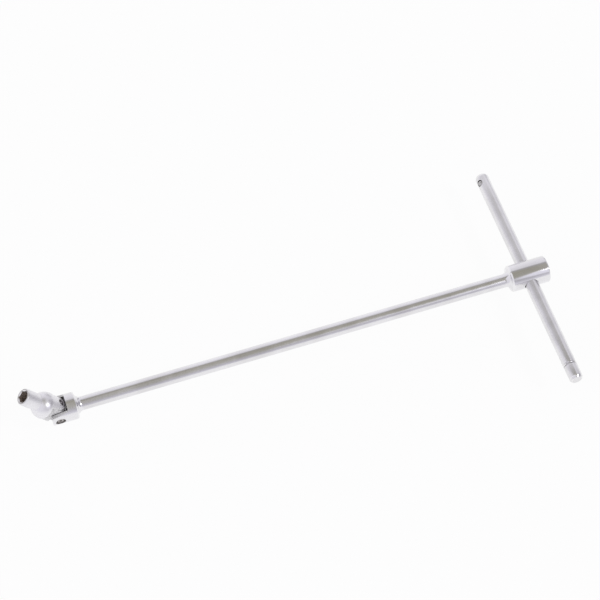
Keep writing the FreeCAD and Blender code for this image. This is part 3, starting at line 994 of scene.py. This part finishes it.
# the room round the tool, as colours by direction: x east, y north, z up
# an edge says where an area starts and where it is full, and a band also where it fades and ends
roomValues = {
    "walls": [(0.0, (0.80, 0.79, 0.84)), (0.3, (0.86, 0.85, 0.90)), (0.6, (0.92, 0.91, 0.96)),
              (1.0, (0.97, 0.96, 1.0))],
    "ceiling": [(0.0, (0.80, 0.79, 0.85)), (0.12, (0.56, 0.55, 0.60)), (0.22, (0.43, 0.42, 0.42)),
                (0.32, (0.392, 0.38, 0.335)), (0.56, (0.385, 0.37, 0.318)), (0.635, (0.42, 0.41, 0.405)),
                (0.675, (0.51, 0.50, 0.52)), (0.72, (0.68, 0.67, 0.70)), (0.79, (0.79, 0.78, 0.82)),
                (0.92, (0.97, 0.96, 1.0))],
    "southEast": (0.88, 0.87, 0.91),
    "farEast": (0.40, 0.39, 0.42),
    "northEast": (0.76, 0.75, 0.79),
    "northWest": (0.40, 0.39, 0.42),
    "farNorth": (0.95, 0.94, 0.98),
    "northCorner": (0.44, 0.43, 0.46),
    "palePatch": (0.90, 0.89, 0.98),
    "paleAim": (0.49, -0.64, 0.60),
    "ground": (0.98, 0.975, 1.0),
    "eastEdge": (0.34, 0.46),
    "farEastEdge": (0.52, 0.74),
    "northEdge": (0.1, 0.4),
    "northWestBand": (0.34, 0.40, 0.45, 0.50),
    "westEdge": (0.2, 0.5),
    "northWestShare": 0.6,
    "farNorthEdge": (0.47, 0.53),
    "farNorthHeight": (0.2, 0.4),
    "farNorthShare": 0.5,
    "wallSlant": 2.2,
    "wallEdge": (-0.10, 0.10),
    "wallHeight": (-0.05, 0.12),
    "paleEdge": (0.934, 0.974),
    "cornerNorth": (0.54, 0.66),
    "cornerEast": (0.30, 0.50),
    "cornerBand": (-0.02, 0.03, 0.30, 0.42),
    "groundEdge": (0.0, 0.10),
}
world = bpy.data.worlds.new("studio")
bpy.context.scene.world = world
world.use_nodes = True
world.node_tree.nodes.clear()
tree = Signal(world.node_tree)
direction = tree.node("ShaderNodeTexCoord", output=0)
east, north, high = partsOf(tree, direction)


# 1 where the direction lies between two soft edges
def between(value, lowFrom, lowTo, highFrom, highTo):
    return step(tree, value, lowFrom, lowTo) * step(tree, -1 * value, -highTo, -highFrom)


# the ceiling shades from south over the top to north, and is paler to the east
tip = tree.math("ARCTAN2", north, high)
ceiling = tree.node("ShaderNodeValToRGB", {"stops": roomValues["ceiling"]}, {0: 0.5 + tip / math.pi})
farEast = step(tree, east, *roomValues["farEastEdge"])
southSide = tint(tree, farEast, roomValues["southEast"], roomValues["farEast"])
side = tint(tree, step(tree, north, *roomValues["northEdge"]), southSide, roomValues["northEast"])
ceiling = tint(tree, step(tree, east, *roomValues["eastEdge"]), ceiling, side)
northWest = between(north, *roomValues["northWestBand"]) * step(tree, -1 * east, *roomValues["westEdge"])
ceiling = tint(tree, roomValues["northWestShare"] * northWest, ceiling, roomValues["northWest"])
farNorth = step(tree, north, *roomValues["farNorthEdge"]) * step(tree, high, *roomValues["farNorthHeight"])
ceiling = tint(tree, roomValues["farNorthShare"] * farNorth, ceiling, roomValues["farNorth"])

# the walls are pale, and show to the south-west and low down
walls = tree.node("ShaderNodeValToRGB", {"stops": roomValues["walls"]}, {0: 0.5 + 0.5 * north})
slanted = east + roomValues["wallSlant"] * tree.math("MAXIMUM", north, 0.0)
shaded = step(tree, slanted, *roomValues["wallEdge"]) * step(tree, high, *roomValues["wallHeight"])
room = tint(tree, shaded, walls, ceiling)

# a pale patch round the lamp, a grey corner low in the north-east and pale ground
facing = tree.node("ShaderNodeVectorMath", {"operation": "DOT_PRODUCT"},
                   {0: direction, 1: Vector(roomValues["paleAim"]).normalized()}, output=1)
room = tint(tree, step(tree, facing, *roomValues["paleEdge"]), room, roomValues["palePatch"])
greyCorner = step(tree, north, *roomValues["cornerNorth"]) * step(tree, east, *roomValues["cornerEast"])
greyCorner = greyCorner * between(high, *roomValues["cornerBand"])
room = tint(tree, greyCorner, room, roomValues["northCorner"])
room = tint(tree, step(tree, -1 * high, *roomValues["groundEdge"]), room, roomValues["ground"])
sky = tree.node("ShaderNodeBackground", None, {"Color": room, "Strength": 1.0})
tree.node("ShaderNodeOutputWorld", None, {"Surface": sky})


# the way towards a point at an azimuth and elevation, with azimuth 0 in front
def wayTo(azimuth, elevation):
    azimuth, elevation = math.radians(azimuth), math.radians(elevation)
    return Vector((math.sin(azimuth) * math.cos(elevation), -math.cos(azimuth) * math.cos(elevation),
                   math.sin(elevation)))


# adds a lamp or a camera that looks from the point at distance along way towards aim
def addAimed(name, data, aim, way, distance):
    added = bpy.data.objects.new(name, data)
    bpy.context.scene.collection.objects.link(added)
    added.location = Vector(aim) + way * distance
    added.rotation_euler = way.to_track_quat("Z", "Y").to_euler()
    return added


lampData = bpy.data.lights.new("softLamp", "AREA")
lampData.shape = "DISK"
lampData.size = stageValues["lampSize"]
lampData.energy = stageValues["lampPower"]
addAimed("softLamp", lampData, stageValues["lampAim"],
         wayTo(stageValues["lampAzimuth"], stageValues["lampElevation"]), stageValues["lampDistance"])
print("stage 12: floor, surroundings and lamp")


cameraValues = {
    "azimuth": -18.69,
    "elevation": 57.97,
    "distance": 1.5,
    "lens": 122.55,
    "sensor": 36,
    "aim": (-0.1781, 0.0381, -0.0101),
}
cameraData = bpy.data.cameras.new("camera")
cameraData.lens = cameraValues["lens"]
cameraData.sensor_width = cameraValues["sensor"]
bpy.context.scene.camera = addAimed(
    "camera", cameraData, cameraValues["aim"],
    wayTo(cameraValues["azimuth"], cameraValues["elevation"]), cameraValues["distance"])
bpy.context.scene.view_settings.view_transform = "Standard"
print("stage 13: camera")

clearSelection()
